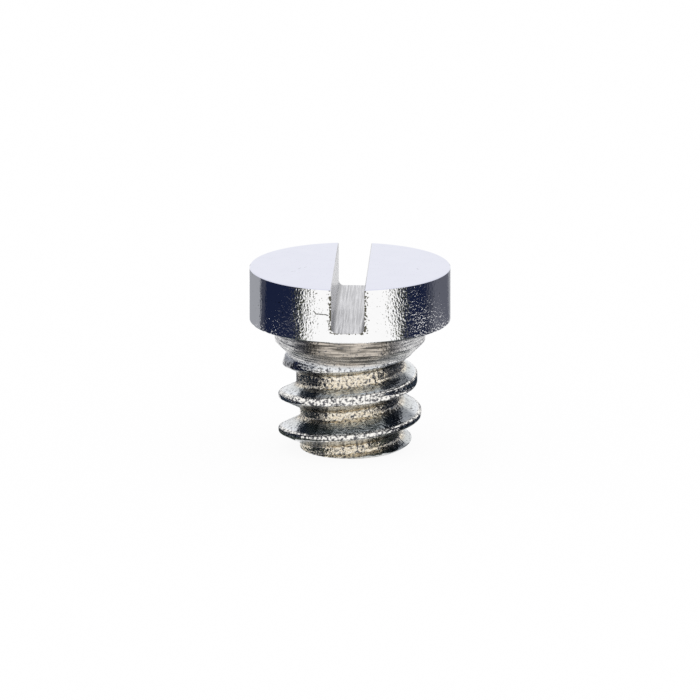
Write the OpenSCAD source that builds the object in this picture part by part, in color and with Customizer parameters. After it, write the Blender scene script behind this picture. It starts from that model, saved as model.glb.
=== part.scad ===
// Watch screw, turned from one bar: a slotted flat head, a collar that cones down into
// the shank, a coarse right-hand thread that runs out under the collar, and a flat end.
// Millimetres. The flat end stands on Z = 0, and +Z runs along the axis to the head.

/* [Head] */
// Diameter of the head
head_d = 1.40; // [1.20:0.01:1.80]
// Height of the head
head_h = 0.38; // [0.34:0.01:0.60]
// Edge break on both rims of the head
head_break = 0.006; // [0.002:0.001:0.030]

/* [Driver slot] */
// Width of the slot, which runs along Y
slot_w = 0.23; // [0.12:0.01:0.30]
// Depth of the slot from the top of the head
slot_depth = 0.31; // [0.15:0.01:0.33]
// Radius that the saw leaves in the corners of the slot's floor
slot_corner_r = 0.038; // [0.010:0.002:0.050]
// How far the slot was sawn off the screw's axis, towards +X
slot_offset = 0.01; // [-0.03:0.005:0.03]

/* [Collar and neck] */
// Diameter of the plain collar under the head
collar_d = 1.05; // [1.00:0.01:1.15]
// Length of the collar, down from the underside of the head
collar_l = 0.14; // [0.05:0.01:0.25]
// Diameter of the neck, where the collar's cone ends
neck_d = 0.89; // [0.84:0.01:0.95]
// Length of the cone from the collar down to the neck
neck_cone_l = 0.08; // [0.05:0.01:0.12]

/* [Thread] */
// Length of the shank, from the underside of the head to the flat end
shank_l = 0.92; // [0.80:0.01:2.00]
// Outside diameter of the full thread
thread_d = 1.00; // [0.94:0.01:1.04]
// Distance between two turns
pitch = 0.25; // [0.18:0.01:0.35]
// Angle between the two flanks
flank_angle = 54; // [50:1:66]
// Width of the flat on the crest of a full turn
crest_w = 0.035; // [0.01:0.005:0.06]
// Diameter at the root of the full thread
root_d = 0.70; // [0.66:0.01:0.74]
// Angle about the axis, from +X, at which a crest would cross the plane of the flat end
thread_start = -8; // [-180:1:180]

/* [Low turns under the neck] */
// Outside diameter of the low turns
low_crest_d = 0.94; // [0.90:0.01:1.00]
// Diameter at the root of the low turns
low_root_d = 0.75; // [0.70:0.01:0.80]
// Length over which the neck widens to the low turns
low_rise_l = 0.09; // [0.04:0.01:0.12]
// Length of the low turns
low_turns_l = 0.14; // [0.05:0.01:0.20]
// Length over which the low turns grow to the full thread
low_to_full_l = 0.06; // [0.03:0.01:0.10]
// Angle from the axis at which the root runs out into the collar
runout_angle = 46; // [40:1:60]

/* [Flat end] */
// Diameter of the flat that the screw stands on
end_d = 0.62; // [0.60:0.01:0.66]
// Length of the chamfer, from the plane of the flat to the full thread
chamfer_l = 0.125; // [0.11:0.005:0.13]
// Angle from the axis to the chamfer's cone
chamfer_angle = 45; // [38:1:46]

/* [Hidden] */

// How far a cutting shape reaches past what it cuts
spare = 0.05;
total_h = shank_l + head_h;

// Heights of the blank's corners above the flat end, from the head down
collar_z = shank_l - collar_l;
neck_z = collar_z - neck_cone_l;
low_top_z = neck_z - low_rise_l;
low_bottom_z = low_top_z - low_turns_l;
full_top_z = low_bottom_z - low_to_full_l;

// The edge between the flat end and the chamfer's cone is rounded, from the flat's rim on
foot_corner_r = thread_d / 2 - chamfer_l * tan(chamfer_angle);
foot_tangent_l = foot_corner_r - end_d / 2;
foot_round_r = foot_tangent_l / tan((90 - chamfer_angle) / 2);
foot_round_z = foot_tangent_l * cos(chamfer_angle);
foot_round_end_r = foot_corner_r + foot_tangent_l * sin(chamfer_angle);

// The thread's V before its crests are turned flat and its roots are left wide
v_height = pitch / 2 / tan(flank_angle / 2);
v_crest_r = thread_d / 2 + crest_w / 2 / tan(flank_angle / 2);

// The root's run-out is a cone through the foot of the neck, and it ends past the head
runout_slope = tan(runout_angle);
runout_z = neck_z - (neck_d - low_root_d) / 2 / runout_slope;
runout_top_r = head_d / 2 + spare;
runout_top_z = runout_z + (runout_top_r - low_root_d / 2) / runout_slope;
// The ridge stops inside the run-out, clear of its surface
ridge_top_z = runout_z + (v_crest_r + spare - low_root_d / 2) / runout_slope;

$fn = 96;
// Facets of the helical ridge, round its section and along one turn
section_steps = 24;
steps_per_turn = 30;

// The rounded edge of the foot, up to where its curve meets the chamfer's cone
module foot_edge() {
    intersection() {
        translate([end_d / 2, foot_round_r])
            circle(r = foot_round_r);
        translate([end_d / 4, 0])
            square([thread_d / 2, foot_round_z]);
    }
}

// The blank as it leaves the lathe, before its thread and slot are cut
module blank() {
    rotate_extrude()
        union() {
            polygon([
                [0, 0],
                [end_d / 2, 0],
                [foot_round_end_r, foot_round_z],
                [thread_d / 2, chamfer_l],
                [thread_d / 2, full_top_z],
                [low_crest_d / 2, low_bottom_z],
                [low_crest_d / 2, low_top_z],
                [neck_d / 2, neck_z],
                [collar_d / 2, collar_z],
                [collar_d / 2, shank_l],
                [head_d / 2 - head_break, shank_l],
                [head_d / 2, shank_l + head_break],
                [head_d / 2, total_h - head_break],
                [head_d / 2 - head_break, total_h],
                [0, total_h],
            ]);
            foot_edge();
        }
}

// What the threading tool leaves inside the roots, opening into a cone under the collar
module core() {
    rotate_extrude()
        polygon([
            [0, -spare],
            [root_d / 2, -spare],
            [root_d / 2, full_top_z],
            [low_root_d / 2, low_bottom_z],
            [low_root_d / 2, runout_z],
            [runout_top_r, runout_top_z],
            [runout_top_r, runout_top_z + total_h],
            [0, runout_top_z + total_h],
        ]);
}

// Radius of the sharp V at an angle round the section from its crest
function v_radius(angle) = v_crest_r - v_height * abs(angle) / 180;

// The ridge cut square to the axis: the V runs once round it, from root to crest and back
function ridge_section() = [
    for (step = [0 : section_steps - 1])
        let (angle = 360 * step / section_steps - 180)
            v_radius(angle) * [cos(angle), sin(angle)]
];

// The helical ridge, right-hand, with sharp crests that the blank then cuts to size
module ridge() {
    length = ridge_top_z + spare;
    turns = length / pitch;
    translate([0, 0, -spare])
        rotate(thread_start - 360 * spare / pitch)
            linear_extrude(
                height = length,
                twist = -360 * turns,
                slices = round(turns * steps_per_turn),
                segments = section_steps
            )
                polygon(ridge_section());
}

// The saw's cut across the head, with rounded corners at its floor
module slot() {
    floor_half_w = slot_w / 2 - slot_corner_r;
    translate([slot_offset, 0, total_h - slot_depth])
        rotate([90, 0, 0])
            linear_extrude(height = head_d + 2 * spare, center = true)
                union() {
                    translate([-slot_w / 2, slot_corner_r])
                        square([slot_w, slot_depth - slot_corner_r + spare]);
                    translate([-floor_half_w, 0])
                        square([2 * floor_half_w, slot_depth]);
                    for (side = [-1, 1])
                        translate([side * floor_half_w, slot_corner_r])
                            circle(r = slot_corner_r);
                }
}

module screw() {
    color("silver")
        difference() {
            intersection() {
                blank();
                union() {
                    core();
                    ridge();
                }
            }
            slot();
        }
}

screw();
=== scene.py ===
"""Watch screw: a fine mesh of the turned and threaded steel, its finishes, and a small white studio.

The mesh is made in millimetres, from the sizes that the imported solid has, and is then scaled to metres.
"""

import math
from functools import cached_property

import bmesh
import bpy
import numpy as np
from mathutils import Matrix, Vector


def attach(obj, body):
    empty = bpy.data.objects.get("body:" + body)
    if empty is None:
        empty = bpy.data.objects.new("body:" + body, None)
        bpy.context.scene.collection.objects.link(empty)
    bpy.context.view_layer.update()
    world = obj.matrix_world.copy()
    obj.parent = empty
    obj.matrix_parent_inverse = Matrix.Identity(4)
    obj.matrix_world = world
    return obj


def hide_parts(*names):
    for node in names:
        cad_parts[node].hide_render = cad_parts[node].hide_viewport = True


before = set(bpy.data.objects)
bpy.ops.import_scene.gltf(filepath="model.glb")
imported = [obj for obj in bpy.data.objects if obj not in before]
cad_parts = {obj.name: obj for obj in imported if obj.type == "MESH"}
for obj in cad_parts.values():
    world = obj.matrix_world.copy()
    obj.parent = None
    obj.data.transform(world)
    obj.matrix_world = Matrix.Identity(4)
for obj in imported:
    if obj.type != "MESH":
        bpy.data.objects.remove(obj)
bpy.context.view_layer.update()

MM = 0.001
MICRON = 0.000001
MICRONS_IN_MM = 1000

# Head and driver slot, in millimetres
head_d = 1.40
head_h = 0.38
head_break = 0.006
slot_w = 0.23
slot_depth = 0.31
slot_corner_r = 0.038
slot_offset = 0.01
slot_break = 0.005

# Collar, neck and thread, in millimetres and degrees
collar_d = 1.05
collar_l = 0.14
neck_d = 0.89
neck_cone_l = 0.08
shank_l = 0.92
thread_d = 1.00
pitch = 0.25
flank_angle = 54
crest_w = 0.035
root_d = 0.70
thread_start = -8
crest_break = 0.012
root_round = 0.030

# Low turns under the neck, and the flat end, in millimetres and degrees
low_crest_d = 0.94
low_root_d = 0.75
low_rise_l = 0.09
low_turns_l = 0.14
low_to_full_l = 0.06
runout_angle = 46
end_d = 0.62
chamfer_l = 0.125
chamfer_angle = 45

# Heights above the flat end, and the rounded edge of the foot
total_h = shank_l + head_h
slot_floor_z = total_h - slot_depth
collar_z = shank_l - collar_l
neck_z = collar_z - neck_cone_l
low_top_z = neck_z - low_rise_l
low_bottom_z = low_top_z - low_turns_l
full_top_z = low_bottom_z - low_to_full_l
foot_corner_r = thread_d / 2 - chamfer_l * math.tan(math.radians(chamfer_angle))
foot_tangent_l = foot_corner_r - end_d / 2
foot_round_r = foot_tangent_l / math.tan(math.radians((90 - chamfer_angle) / 2))
foot_round_z = foot_tangent_l * math.cos(math.radians(chamfer_angle))
foot_round_end_r = foot_corner_r + foot_tangent_l * math.sin(math.radians(chamfer_angle))

# The thread's V before its crests are turned flat, and the root's run-out into the collar
flank_slope = 1 / math.tan(math.radians(flank_angle / 2))
v_crest_r = thread_d / 2 + crest_w / 2 * flank_slope
runout_slope = math.tan(math.radians(runout_angle))
runout_z = neck_z - (neck_d - low_root_d) / 2 / runout_slope

# Scratches, as the ends of short lines in millimetres
SIDE_SCRATCHES = [
    ((-0.224, -0.663, 1.140), (-0.212, -0.667, 1.122)),
    ((-0.212, -0.667, 1.122), (-0.140, -0.686, 1.121)),
    ((-0.140, -0.686, 1.121), (-0.126, -0.689, 1.116)),
]
TOP_SCRATCHES = [
    ((-0.405, -0.178, 1.300), (-0.372, -0.160, 1.300)),
    ((-0.357, -0.100, 1.300), (-0.343, -0.072, 1.300)),
    ((-0.315, -0.052, 1.300), (-0.300, -0.030, 1.300)),
    ((0.468, -0.050, 1.300), (0.478, -0.085, 1.300)),
]

# Tones of the bare steel. On the thread, the crest tone is a painted highlight, the flank tones are painted
# shade, and the root tones are a painted warm reflection. The flanks go from the first to the second inwards
SIDE_TONES = (0.93, 0.93, 0.93), (0.97, 0.97, 0.97)
TOP_TONES = (0.70, 0.715, 0.83), (0.76, 0.775, 0.885)
SLOT_TONES = (0.56, 0.56, 0.58), (0.78, 0.78, 0.81)
CREST_HIGHLIGHT_TONE = (1.0, 0.98, 0.93)
FLANK_SHADE_TONES = (0.78, 0.81, 0.85), (0.58, 0.60, 0.59)
ROOT_REFLECTION_TONES = (0.97, 0.87, 0.70), (1.0, 0.96, 0.87)
UNSHADED_COLLAR_TONES = (0.76, 0.75, 0.74), (1.0, 0.99, 0.97)

# Tones of painted shade, of the mottle in the roots' painted reflection, and of damage, marks and specks
SHADED_COLLAR_TONES = (0.12, 0.11, 0.095), (0.62, 0.56, 0.49)
ROOT_REFLECTION_MOTTLE_TONE = (0.78, 0.68, 0.52)
BURR_TONE = (0.10, 0.095, 0.07)
SAW_LINE_TONE = (0.32, 0.32, 0.34)
SLOT_CORNER_SHADE_TONE = (0.16, 0.16, 0.17)
SIDE_SCRATCH_TONE = (0.12, 0.12, 0.11)
TOP_SCRATCH_TONE = (0.45, 0.45, 0.52)
SPECK_TONE = (0.13, 0.13, 0.14)
SHADE_STRIP_TONE = (0.07, 0.085, 0.11)

# Two strips of painted shade down the thread: each strip's turn from -Y towards +X in degrees, the cosines of
# the angles from there at which it starts and is full, and how dark it gets
SHADE_STRIPS = [(-39.87, 0.975, 0.992, 0.55), (60.13, 0.95, 0.985, 0.7)]

# How finely the mesh follows the screw
COLUMNS = 256
ROWS_PER_PITCH = 48
CORNER_STEPS = 8
MERGE = 0.00001
SHARP_ANGLE = 32

# Material slots of the mesh
SIDE, TOP, SLOT, SHANK = range(4)


def soft_max(a, b, width):
    """The larger of a and b, with the corner between them rounded over width."""
    share = np.clip(0.5 + 0.5 * (a - b) / width, 0, 1)
    return b + (a - b) * share + width * share * (1 - share)


def soft_min(a, b, width):
    """The smaller of a and b, with the corner between them rounded over width."""
    return -soft_max(-a, -b, width)


def direction(turn, rise):
    """Unit vector from the screw, turned from -Y towards +X and raised from level, in degrees."""
    turn, rise = math.radians(turn), math.radians(rise)
    return Vector((math.sin(turn) * math.cos(rise), -math.cos(turn) * math.cos(rise), math.sin(rise)))


def mesh_from(bm, name):
    """A mesh with what the bmesh holds, which is then freed."""
    mesh = bpy.data.meshes.new(name)
    bm.to_mesh(mesh)
    bm.free()
    return mesh


def new_object(name, data):
    """An object that is linked into the scene."""
    made = bpy.data.objects.new(name, data)
    bpy.context.scene.collection.objects.link(made)
    return made


def shank_radius(phase, z):
    """Radius of the thread at a height and at a share of a turn from the middle of its crest."""
    blank = np.interp(
        z,
        [foot_round_z, chamfer_l, full_top_z, low_bottom_z, low_top_z, neck_z],
        np.array([2 * foot_round_end_r, thread_d, thread_d, low_crest_d, low_crest_d, neck_d]) / 2,
    )
    above_round = np.clip(foot_round_r - z, 0, foot_round_r)
    foot = end_d / 2 + np.sqrt(foot_round_r**2 - above_round**2)
    blank = np.where(z < foot_round_z, foot, blank)
    core = np.interp(
        z,
        [0, full_top_z, low_bottom_z, runout_z, neck_z],
        np.array([root_d, root_d, low_root_d, low_root_d, neck_d]) / 2,
    )
    ridge = v_crest_r - np.abs(phase) * pitch * flank_slope
    return soft_min(blank, soft_max(core, ridge, root_round), crest_break)


def screw_grid():
    """Radius and height of each point of the screw, as columns round it and rows up it.

    The rows of the thread climb one pitch in a turn, so that they run along its crests and roots.
    """
    turn = np.linspace(0, 1, COLUMNS + 1)[:, None]
    row = np.arange(-ROWS_PER_PITCH, math.ceil(neck_z / pitch * ROWS_PER_PITCH) + 1)[None, :]
    z = np.clip(pitch * (turn + row / ROWS_PER_PITCH), 0, neck_z)
    from_crest = turn - z / pitch
    phase = from_crest - np.round(from_crest)
    radius = shank_radius(phase, z)
    above = [
        (collar_d / 2, collar_z),
        (collar_d / 2, shank_l),
        (head_d / 2 - head_break, shank_l),
        (head_d / 2, shank_l + head_break),
        (head_d / 2, total_h - head_break),
        (head_d / 2 - head_break, total_h),
        (0, total_h),
    ]
    ones = np.ones_like(turn)
    radius = np.hstack([ones * 0, radius, ones * [r for r, _ in above]])
    z = np.hstack([ones * 0, z, ones * [h for _, h in above]])
    angle = math.radians(thread_start) + 2 * math.pi * turn
    return radius * np.cos(angle), radius * np.sin(angle), z


def grid_mesh(name, x, y, z):
    """A mesh through a grid of points, with the points that coincide merged."""
    columns, rows = z.shape
    bm = bmesh.new()
    verts = [bm.verts.new(p) for p in zip(x.ravel(), y.ravel(), z.ravel())]
    for c in range(columns - 1):
        for r in range(rows - 1):
            corner = c * rows + r
            bm.faces.new([verts[i] for i in (corner, corner + rows, corner + rows + 1, corner + 1)])
    bmesh.ops.remove_doubles(bm, verts=bm.verts, dist=MERGE)
    bmesh.ops.dissolve_degenerate(bm, dist=MERGE, edges=bm.edges)
    bmesh.ops.recalc_face_normals(bm, faces=bm.faces)
    return mesh_from(bm, name)


def slot_cutter():
    """A prism of the slot's section: a round-cornered floor, and walls that open a little at the top."""
    half_w = slot_w / 2
    corner_x = half_w - slot_corner_r
    corner_z = slot_floor_z + slot_corner_r
    right = []
    for step in range(CORNER_STEPS + 1):
        angle = math.pi / 2 * (step / CORNER_STEPS - 1)
        right.append((corner_x + slot_corner_r * math.cos(angle), corner_z + slot_corner_r * math.sin(angle)))
    right.append((half_w, total_h - slot_break))
    right.append((half_w + 2 * slot_break, total_h + slot_break))
    outline = right + [(-px, pz) for px, pz in reversed(right)]
    bm = bmesh.new()
    reach = head_d
    front = [bm.verts.new((slot_offset + px, -reach, pz)) for px, pz in outline]
    back = [bm.verts.new((slot_offset + px, reach, pz)) for px, pz in outline]
    bm.faces.new(front)
    bm.faces.new(reversed(back))
    for i in range(len(outline)):
        j = (i + 1) % len(outline)
        bm.faces.new([front[j], front[i], back[i], back[j]])
    bmesh.ops.recalc_face_normals(bm, faces=bm.faces)
    for face in bm.faces:
        face.material_index = SLOT
    return mesh_from(bm, "slot_cutter")


def cut_slot(screw, materials):
    """Saws the slot across the head."""
    cutter = new_object("slot_cutter", slot_cutter())
    for material in materials:
        cutter.data.materials.append(material)
    cut = screw.modifiers.new("slot", "BOOLEAN")
    cut.operation = "DIFFERENCE"
    cut.solver = "EXACT"
    cut.object = cutter
    shaped = bpy.data.meshes.new_from_object(screw.evaluated_get(bpy.context.evaluated_depsgraph_get()))
    screw.modifiers.clear()
    old = screw.data
    screw.data = shaped
    bpy.data.meshes.remove(old)
    bpy.data.objects.remove(cutter)


def finish_faces(mesh):
    """Gives each face its finish, and keeps the turned edges sharp."""
    for face in mesh.polygons:
        face.use_smooth = True
        if face.material_index == SLOT:
            continue
        # The flat end has the finish of the head's side
        if face.center.z < MERGE and face.normal.z < -0.9:
            face.material_index = SIDE
        elif face.center.z < shank_l - head_break:
            face.material_index = SHANK
        elif face.center.z > total_h - 0.9 * head_break and face.normal.z > 0.3:
            face.material_index = TOP
        else:
            face.material_index = SIDE
    mesh.set_sharp_from_angle(angle=math.radians(SHARP_ANGLE))


class Nodes:
    """Short calls that add and join the nodes of one material.

    A value or colour is a socket or a constant, and a share is a value from 0 to 1.
    """

    def __init__(self, tree):
        self.tree = tree

    def add(self, kind, inputs=None, **settings):
        node = self.tree.nodes.new("ShaderNode" + kind)
        for name, value in settings.items():
            setattr(node, name, value)
        for name, value in (inputs or {}).items():
            if isinstance(value, bpy.types.NodeSocket):
                self.tree.links.new(value, node.inputs[name])
            else:
                node.inputs[name].default_value = value
        return node

    def math(self, operation, a, b=0.0):
        return self.add("Math", {0: a, 1: b}, operation=operation).outputs[0]

    def vector_math(self, operation, a, b=(0, 0, 0), output=0):
        return self.add("VectorMath", {0: a, 1: b}, operation=operation).outputs[output]

    def product(self, first, *others):
        for other in others:
            first = self.math("MULTIPLY", first, other)
        return first

    def spread(self, value, low, high, out_low=0.0, out_high=1.0):
        """Goes from out_low to out_high as the value goes from low to high, and stays there beyond them."""
        return self.add("MapRange", {0: value, 1: low, 2: high, 3: out_low, 4: out_high}).outputs[0]

    def without(self, share):
        return self.spread(share, 0, 1, 1, 0)

    def mix(self, share, start, end):
        """A colour between two, of which a constant one is its red, green and blue."""
        start, end = [(*colour, 1) if isinstance(colour, tuple) else colour for colour in (start, end)]
        return self.add("Mix", {"Factor": share, "A": start, "B": end}, data_type="RGBA").outputs["Result"]

    def mix_value(self, share, start, end):
        return self.add("Mix", {"Factor": share, "A": start, "B": end}, data_type="FLOAT").outputs["Result"]

    def noise(self, vector, sizes, detail=2.0, roughness=0.5):
        """Noise over a vector in millimetres, with features of about these sizes, in microns, on its axes."""
        scaled = self.vector_math("MULTIPLY", vector, tuple(MICRONS_IN_MM / size for size in sizes))
        inputs = {"Vector": scaled, "Detail": detail, "Roughness": roughness, "Scale": 1.0}
        return self.add("TexNoise", inputs).outputs["Fac"]

    def over_noise(self, noise, low, high):
        """Goes from low to high over the range that most of a noise lies in."""
        return self.spread(noise, 0.3, 0.7, low, high)

    def bump(self, height, depth, normal=None, strength=1.0):
        """The normal after relief of a depth in microns."""
        inputs = {"Height": height, "Distance": depth * MICRON, "Strength": strength}
        if normal is not None:
            inputs["Normal"] = normal
        return self.add("Bump", inputs).outputs["Normal"]


class Steel(Nodes):
    """A finish of the steel, in patches of two bare tones. Places and distances are in millimetres."""

    def __init__(self, name, dark, light):
        self.material = bpy.data.materials.new(name)
        self.material.use_nodes = True
        super().__init__(self.material.node_tree)
        self.shader = self.tree.nodes["Principled BSDF"]
        self.shader.inputs["Metallic"].default_value = 1.0
        metres = self.add("TexCoord").outputs["Object"]
        self.place = self.vector_math("MULTIPLY", metres, (1 / MM, 1 / MM, 1 / MM))
        self.bare = self.mix(self.noise(self.place, (90, 90, 90), detail=3), dark, light)

    @cached_property
    def axes(self):
        """Sockets for the place across the slot, the place along it and the height above the flat end."""
        return tuple(self.add("SeparateXYZ", {0: self.place}).outputs)

    @cached_property
    def from_axis(self):
        across, along, _ = self.axes
        return self.add("CombineXYZ", {0: across, 1: along}).outputs[0]

    @cached_property
    def radius(self):
        return self.vector_math("LENGTH", self.from_axis, output="Value")

    def from_slot(self):
        """Distance from the slot's middle, across it."""
        return self.math("ABSOLUTE", self.math("SUBTRACT", self.axes[0], slot_offset))

    def from_line(self, start, end):
        """Distance from a short straight line."""
        start, end = Vector(start), Vector(end)
        along = end - start
        offset = self.vector_math("SUBTRACT", self.place, tuple(start))
        share = self.vector_math("DOT_PRODUCT", offset, tuple(along / along.length_squared), "Value")
        foot = self.add("VectorMath", {0: tuple(along)}, operation="SCALE")
        self.tree.links.new(self.spread(share, 0, 1), foot.inputs["Scale"])
        return self.vector_math("DISTANCE", offset, foot.outputs[0], "Value")

    def scratches(self, lines, width):
        """1 on the ragged scratches and 0 away from them. Their width is in microns."""
        width = width / MICRONS_IN_MM
        nearest = 1.0
        for start, end in lines:
            nearest = self.math("MINIMUM", self.from_line(start, end), nearest)
        ragged = self.spread(self.noise(self.place, (9, 9, 9)), 0, 1, -0.8 * width, 0.8 * width)
        return self.spread(self.math("ADD", nearest, ragged), width / 2, width, 1, 0)

    def finish(self, tone, roughness, normal):
        for name, value in (("Base Color", tone), ("Roughness", roughness), ("Normal", normal)):
            self.tree.links.new(value, self.shader.inputs[name])
        return self.material


def turned_side():
    """The head's side: bright, with a grain that breaks up what it mirrors, and dark burrs along the slot."""
    steel = Steel("turned_side", *SIDE_TONES)
    across, along, height = steel.axes
    half = head_d / 2

    # The grain is strongest at the front, and fades to the left, the right, the foot and the back
    grain = steel.noise(steel.place, (14, 14, 17), detail=1.5)
    swell = steel.noise(steel.place, (60, 60, 140), detail=1)
    left = steel.spread(across, -0.75 * half, -0.4 * half, 0.25, 1)
    right = steel.spread(across, 0.52 * half, 0.78 * half, 1, 0.5)
    calm_h = 0.14
    foot = steel.spread(height, shank_l, shank_l + calm_h, 0.5, 1)
    back = steel.spread(along, -0.1 * half, 0.4 * half, 1, 0.6)
    strength = steel.product(steel.math("MINIMUM", left, right), foot, back)
    normal = steel.bump(grain, 3.4, strength=strength)
    normal = steel.bump(swell, 1.2, normal)

    # The burrs lie on the outside of the head, beside the slot and just under it
    reach, under, thin = 0.04, 0.02, 0.012
    thick = steel.spread(steel.from_slot(), slot_w / 2, slot_w / 2 + reach, 0.60, 0.30)
    beside = steel.spread(height, slot_floor_z - under, slot_floor_z)
    outside = steel.spread(steel.radius, half - thin, half - thin / 2)
    burrs = steel.math("SUBTRACT", steel.product(thick, beside, outside), grain)
    tone = steel.mix(steel.spread(burrs, 0, 0.05), steel.bare, BURR_TONE)
    tone = steel.mix(steel.scratches(SIDE_SCRATCHES, 5), tone, SIDE_SCRATCH_TONE)
    return steel.finish(tone, steel.over_noise(grain, 0.02, 0.07), normal)


def polished_top():
    """The head's flat top: polished, with a few fine scratches."""
    steel = Steel("polished_top", *TOP_TONES)
    grain = steel.noise(steel.place, (12, 12, 12))
    tone = steel.mix(steel.scratches(TOP_SCRATCHES, 4), steel.bare, TOP_SCRATCH_TONE)
    return steel.finish(tone, steel.over_noise(grain, 0.08, 0.16), steel.bump(grain, 0.25))


def sawn_slot():
    """The slot, with the lines that the saw left along it and painted shade in the corners of its floor."""
    steel = Steel("sawn_slot", *SLOT_TONES)
    _, _, height = steel.axes
    lines = steel.noise(steel.place, (10, 500, 10), detail=3)
    tone = steel.mix(steel.spread(lines, 0.38, 0.60), SAW_LINE_TONE, steel.bare)
    # Painted shade darkens the corners of the slot's floor
    wall, corner_r = slot_w / 2, slot_corner_r
    at_wall = steel.spread(steel.from_slot(), wall - 0.8 * corner_r, wall - 0.4 * corner_r)
    at_floor = steel.spread(height, slot_floor_z + 0.4 * corner_r, slot_floor_z + corner_r, 0.75, 0)
    tone = steel.mix(steel.product(at_wall, at_floor), tone, SLOT_CORNER_SHADE_TONE)
    return steel.finish(tone, steel.over_noise(lines, 0.1, 0.3), steel.bump(lines, 3))


def thread_depth(steel):
    """0 on the crests and 1 in the roots, of the full turns and the low ones."""
    _, _, height = steel.axes
    to_low = steel.spread(height, full_top_z, low_bottom_z)
    crest_r = steel.spread(to_low, 0, 1, thread_d / 2, low_crest_d / 2)
    thread_h = steel.spread(to_low, 0, 1, (thread_d - root_d) / 2, (low_crest_d - low_root_d) / 2)
    return steel.math("DIVIDE", steel.math("SUBTRACT", crest_r, steel.radius), thread_h)


def thread_tone(steel, depth):
    """Painted light and shade by depth: crests lightened as a painted highlight, blue-grey flanks darkened
    inwards as painted shade, and mottled golden roots as a painted warm reflection.
    """
    mottle = steel.noise(steel.place, (15, 15, 9))
    golden = steel.mix(steel.spread(mottle, 0.42, 0.62), ROOT_REFLECTION_MOTTLE_TONE, steel.bare)
    # Painted shade on the flanks, then the painted warm reflection in the roots, then the painted highlight
    # on the crests
    tone = steel.mix(steel.spread(depth, 0.15, 0.7), *FLANK_SHADE_TONES)
    tone = steel.mix(steel.spread(depth, 0.72, 0.92), tone, golden)
    return steel.mix(steel.spread(depth, 0.08, 0.2), CREST_HIGHLIGHT_TONE, tone)


def with_specks(steel, tone, depth, collar):
    """Dark specks over a tone, thickest on the crests and in the roots, and thin on the collar."""
    on_crest = steel.spread(depth, 0.08, 0.2, 0.05, -0.05)
    in_root = steel.spread(depth, 0.65, 0.85, 0, 0.05)
    thick = steel.mix_value(collar, steel.math("ADD", on_crest, in_root), -0.08)
    specks = steel.noise(steel.place, (17, 17, 17), roughness=0.6)
    clear = steel.spread(steel.math("SUBTRACT", specks, thick), 0.38, 0.52)
    return steel.mix(clear, SPECK_TONE, tone)


def with_shade_strips(steel, tone, depth, collar):
    """Painted shade over a tone, in strips down the thread's flanks and roots."""
    outward = steel.vector_math("NORMALIZE", steel.from_axis)
    below_crest = steel.product(steel.spread(depth, 0.04, 0.12), steel.without(collar))
    for turn, thin, full, dark in SHADE_STRIPS:
        facing = steel.vector_math("DOT_PRODUCT", outward, tuple(direction(turn, 0)), "Value")
        shade_strip = steel.product(steel.spread(facing, thin, full, 0, dark), below_crest)
        tone = steel.mix(shade_strip, tone, SHADE_STRIP_TONE)
    return tone


def thread_relief(steel, depth, collar, streaks):
    """Normal and roughness of the thread and collar: a grain, strongest in the roots, and turned lines."""
    across, along, _ = steel.axes
    grain = steel.noise(steel.place, (20, 20, 20), detail=1.5)
    swell = steel.noise(steel.place, (50, 50, 30), detail=1)
    around = steel.add("CombineXYZ", {0: steel.radius, 1: across, 2: along}).outputs[0]
    lines = steel.noise(around, (8, 200, 200), detail=1)
    strength = steel.spread(depth, 0.65, 0.9, 0.35, 1.4)
    normal = steel.bump(grain, 5, strength=steel.mix_value(collar, strength, 0.6))
    normal = steel.bump(swell, 6, normal, steel.mix_value(collar, strength, 0.3))
    normal = steel.bump(lines, 1.2, normal)
    normal = steel.bump(streaks, 1.6, normal, collar)
    on_thread, on_collar = steel.over_noise(grain, 0.05, 0.14), steel.over_noise(streaks, 0.35, 0.2)
    return normal, steel.mix_value(collar, on_thread, on_collar)


def threaded_steel():
    """The thread and the collar, which is streaked, darkened at the front by painted shade, and frosted on
    its bright streaks away from that shade.
    """
    steel = Steel("threaded_steel", *ROOT_REFLECTION_TONES)
    _, along, height = steel.axes
    depth = thread_depth(steel)
    collar = steel.spread(height, neck_z - 0.03, neck_z)
    streaks = steel.noise(steel.place, (170, 170, 13))
    bright = steel.spread(streaks, 0.40, 0.60)
    # Painted shade on the front of the collar, which darkens its streaks there
    front_shade = steel.spread(along, -0.46, -0.34, 1, 0)

    unshaded_collar = steel.mix(bright, *UNSHADED_COLLAR_TONES)
    shaded_collar = steel.mix(bright, *SHADED_COLLAR_TONES)
    tone = steel.mix(collar, thread_tone(steel, depth), steel.mix(front_shade, unshaded_collar, shaded_collar))
    tone = with_specks(steel, tone, depth, collar)
    # Painted shade in two strips down the thread's flanks and roots
    tone = with_shade_strips(steel, tone, depth, collar)
    frosted = steel.product(collar, bright, steel.without(front_shade))
    steel.tree.links.new(steel.spread(frosted, 0, 1, 1, 0.35), steel.shader.inputs["Metallic"])
    normal, roughness = thread_relief(steel, depth, collar, streaks)
    return steel.finish(tone, roughness, normal)


def make_screw():
    screw = new_object("turned_screw", grid_mesh("turned_screw", *screw_grid()))
    materials = [turned_side(), polished_top(), sawn_slot(), threaded_steel()]
    for material in materials:
        screw.data.materials.append(material)
    cut_slot(screw, materials)
    finish_faces(screw.data)
    screw.data.transform(Matrix.Scale(MM, 4))
    return screw


# The camera stands a little off the slot's line and above the head, in degrees and millimetres
VIEW_TURN = 2.13
VIEW_RISE = 14.3
VIEW_DISTANCE = 64.0
FRAME_WIDTH = 4.885
AIM_Z = 0.697
SENSOR_WIDTH = 36.0

# Radius of the floor in millimetres, and the share of its white that no shadow falls on
FLOOR_R = 60
FLOOR_OWN_WHITE = 0.92

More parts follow.
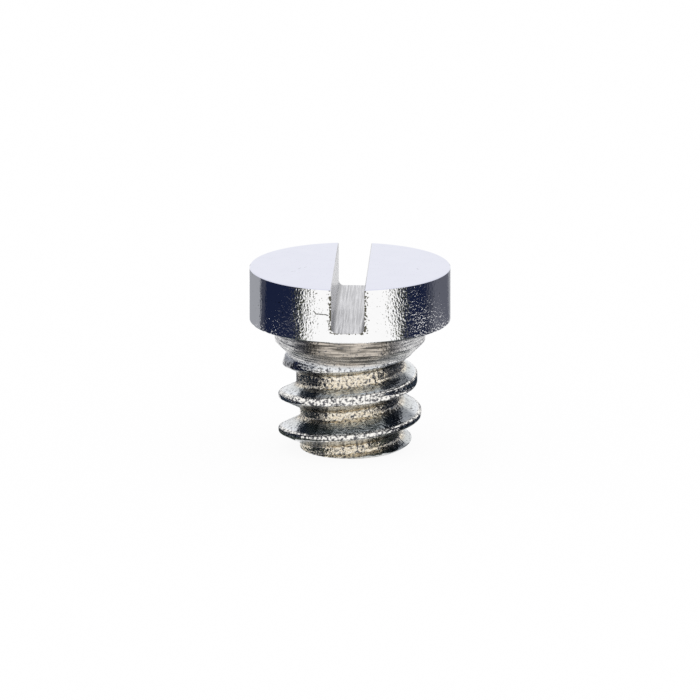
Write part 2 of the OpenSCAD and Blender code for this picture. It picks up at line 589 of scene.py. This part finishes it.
# The cards lie just over the floor, and the outermost end in a low wall, in millimetres
CARD_Z = 0.004
FOOT_CARD_Z = 0.002
FOOT_SHADE_Z = 0.003
WALL_R = 8
WALL_H = 1.8
LOW_WALL_H = 0.9

# Angle that one flat face of a card spans, in degrees
CARD_STEP = 3

# Colours of the cards
CARD_COLOURS = {
    "navy": (0.010, 0.015, 0.042),
    "slate": (0.034, 0.046, 0.068),
    "fade": (0.05, 0.055, 0.08),
    "olive": (0.065, 0.068, 0.040),
    "moss": (0.068, 0.082, 0.078),
    "dusk": (0.11, 0.115, 0.145),
    "grey": (0.33, 0.34, 0.37),
    "pale": (0.90, 0.90, 0.91),
}


def make_camera():
    camera = new_object("camera", bpy.data.cameras.new("camera"))
    back = direction(VIEW_TURN, VIEW_RISE)
    camera.location = (Vector((0, 0, AIM_Z)) + back * VIEW_DISTANCE) * MM
    camera.rotation_mode = "QUATERNION"
    camera.rotation_quaternion = (-back).to_track_quat("-Z", "Y")
    camera.data.sensor_width = SENSOR_WIDTH
    camera.data.lens = SENSOR_WIDTH * VIEW_DISTANCE / FRAME_WIDTH
    camera.data.clip_start = 0.1 * VIEW_DISTANCE * MM
    camera.data.clip_end = 10 * VIEW_DISTANCE * MM
    bpy.context.scene.camera = camera


def card_material(name, colour):
    material = bpy.data.materials.new(name + "_card")
    material.use_nodes = True
    nodes = Nodes(material.node_tree)
    nodes.tree.nodes.clear()
    shader = nodes.add("Emission", {"Color": (*colour, 1), "Strength": 1.0})
    nodes.add("OutputMaterial", {"Surface": shader.outputs[0]})
    return material


def make_card(name, profile, turn_from, turn_to, material):
    """A card bent round the screw, which only the metal mirrors.

    Its profile is radii and heights in millimetres, and it turns from -Y towards +X, in degrees.
    """
    steps = max(2, round(abs(turn_to - turn_from) / CARD_STEP))
    bm = bmesh.new()
    columns = []
    for step in range(steps + 1):
        out = direction(turn_from + (turn_to - turn_from) * step / steps, 0)
        columns.append([bm.verts.new((out * r + Vector((0, 0, z))) * MM) for r, z in profile])
    for here, there in zip(columns, columns[1:]):
        for i in range(len(profile) - 1):
            bm.faces.new((here[i], there[i], there[i + 1], here[i + 1]))
    card = new_object(name, mesh_from(bm, name))
    card.data.materials.append(material)
    card.visible_camera = False
    card.visible_shadow = False
    card.visible_diffuse = False


def flat_profile(inner_r, outer_r, z=CARD_Z):
    return [(inner_r, z), (outer_r, z)]


def walled_profile(inner_r, wall_h):
    return flat_profile(inner_r, WALL_R) + [(WALL_R, wall_h)]


def side_cards(front, pale_from, dark_to, edge):
    """The cards of one side: name, profile, the angles from the view where it begins and ends, and colour.

    From the front, the lower crest mirrors the near cards, the upper crest and the roots mirror the
    ring, the collar mirrors the middle, and the head's side mirrors the far cards.
    """
    back = 135
    near = flat_profile(0.92, 1.6)
    ring, ring_back = flat_profile(1.6, 2.9), flat_profile(1.6, 2.8)
    middle, middle_back = flat_profile(2.9, 3.85), flat_profile(2.8, 3.78)
    far, far_back = walled_profile(3.85, WALL_H), walled_profile(3.78, WALL_H)
    last = walled_profile(3.78, LOW_WALL_H)
    foot = flat_profile(0.40, 0.92, FOOT_CARD_Z)
    return [
        ("olive", far, front, front + 9, "olive"),
        ("near_dark", near, 68, back, "slate"),
        ("ring_dark", ring, front + 4, back, "slate"),
        ("ring_back", ring_back, back, 174, "slate"),
        ("middle_dark", middle, front + 4, pale_from, "dusk"),
        ("middle_pale", middle, pale_from, back, "pale"),
        ("middle_back", middle_back, back, 174, "pale"),
        ("far_dark", far, front + 9, dark_to, "navy"),
        ("far_fade", far, dark_to, dark_to + 10, "fade"),
        ("far_edge", far, dark_to + 10, back, edge),
        ("far_back", far_back, back, 150, edge),
        ("last_back", last, 150, 166, "grey"),
        ("foot_side", foot, 33, 180, "moss"),
    ]


def make_cards():
    """Cards at both sides and round the foot, which give the bright metal its dark bands and flanks."""
    materials = {name: card_material(name, colour) for name, colour in CARD_COLOURS.items()}
    sides = [
        ("left", -1, side_cards(front=49, pale_from=86, dark_to=108, edge="grey")),
        ("right", 1, side_cards(front=51, pale_from=73, dark_to=94, edge="dusk")),
    ]
    for side, mirror, cards in sides:
        for name, profile, start, end, colour in cards:
            turns = (VIEW_TURN + mirror * start, VIEW_TURN + mirror * end)
            make_card(name + "_" + side, profile, *turns, materials[colour])
    foot_front = flat_profile(0.62, 0.82, FOOT_CARD_Z)
    make_card("foot_front", foot_front, VIEW_TURN - 33, VIEW_TURN + 33, materials["moss"])
    # Painted shade: a dark ring round the foot's edge, which only the metal mirrors, in place of the shade
    # under the foot
    make_card("foot_edge", flat_profile(0.312, 0.36, FOOT_SHADE_Z), 0, 360, materials["moss"])


def floor_material():
    """White, and to the camera and mirrors partly its own light, so that it merges with the background."""
    material = bpy.data.materials.new("white_floor")
    material.use_nodes = True
    nodes = Nodes(material.node_tree)
    shader = nodes.tree.nodes["Principled BSDF"]
    shader.inputs["Base Color"].default_value = (0.97, 0.97, 0.97, 1)
    shader.inputs["Roughness"].default_value = 0.9
    shader.inputs["Specular IOR Level"].default_value = 0.0
    rays = nodes.add("LightPath").outputs
    seen = nodes.math("MAXIMUM", rays["Is Camera Ray"], rays["Is Glossy Ray"])
    seen = nodes.math("MAXIMUM", seen, rays["Is Transmission Ray"])
    own_white = nodes.add("Emission", {"Color": (1, 1, 1, 1), "Strength": 1.0})
    share = nodes.math("MULTIPLY", seen, FLOOR_OWN_WHITE)
    blend = nodes.add("MixShader", {0: share, 1: shader.outputs[0], 2: own_white.outputs[0]})
    nodes.tree.links.new(blend.outputs[0], nodes.tree.nodes["Material Output"].inputs["Surface"])
    return material


def make_floor():
    bm = bmesh.new()
    bmesh.ops.create_circle(bm, cap_ends=True, segments=128, radius=FLOOR_R * MM)
    floor = new_object("floor", mesh_from(bm, "floor"))
    floor.data.materials.append(floor_material())


def make_world():
    """White light from all round."""
    world = bpy.data.worlds.new("studio")
    bpy.context.scene.world = world
    world.use_nodes = True
    background = world.node_tree.nodes["Background"]
    background.inputs["Color"].default_value = (1, 1, 1, 1)
    background.inputs["Strength"].default_value = 1.0
    bpy.context.scene.view_settings.view_transform = "Standard"
    bpy.context.scene.cycles.use_denoising = False


make_camera()
screw = make_screw()
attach(screw, "root")
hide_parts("screw")
make_floor()
make_cards()
make_world()
